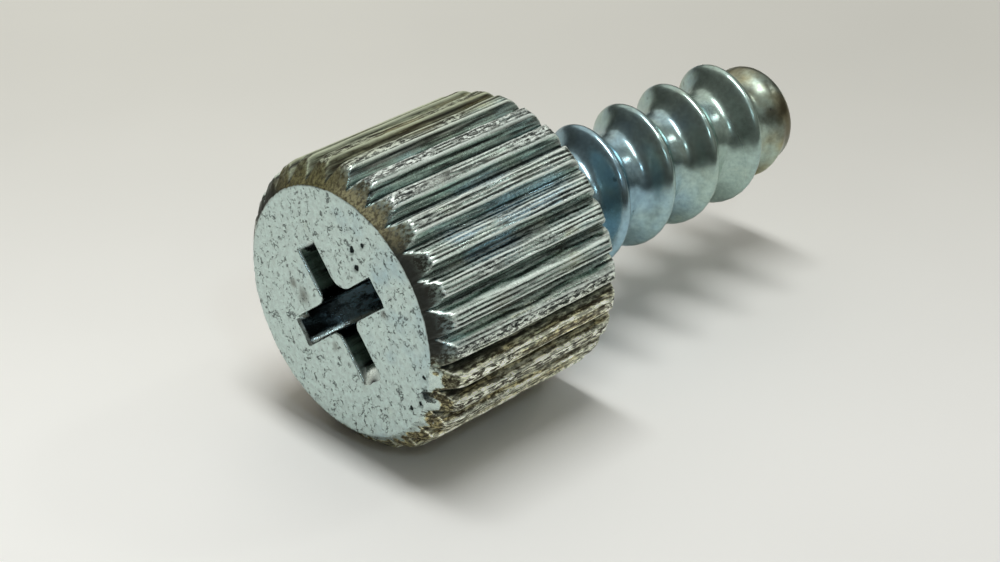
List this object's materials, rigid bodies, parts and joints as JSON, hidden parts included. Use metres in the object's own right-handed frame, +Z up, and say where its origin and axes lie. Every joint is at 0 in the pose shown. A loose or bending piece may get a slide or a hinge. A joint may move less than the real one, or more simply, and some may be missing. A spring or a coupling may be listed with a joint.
{
  "type": "thumb screw",
  "caption": "Zinc-plated steel thumb screw with a long straight-knurled head, a cross driver recess in its flat face, and a short coarse self-tapping thread with a blunt end.",
  "frame": {"origin": "on the floor, below the middle of the screw's bounding box", "axes": "+X along the screw's axis from the head's face to the blunt end, +Z up; the screw lies on the side of its head"},
  "size_m": [0.02, 0.0098, 0.0098],
  "materials": {
    "zinc_plate": "worn bright zinc plate with brown tarnish in the grooves"
  },
  "bodies": {
    "root": {"thumb_screw": "zinc_plate"}
  },
  "joints": []
}
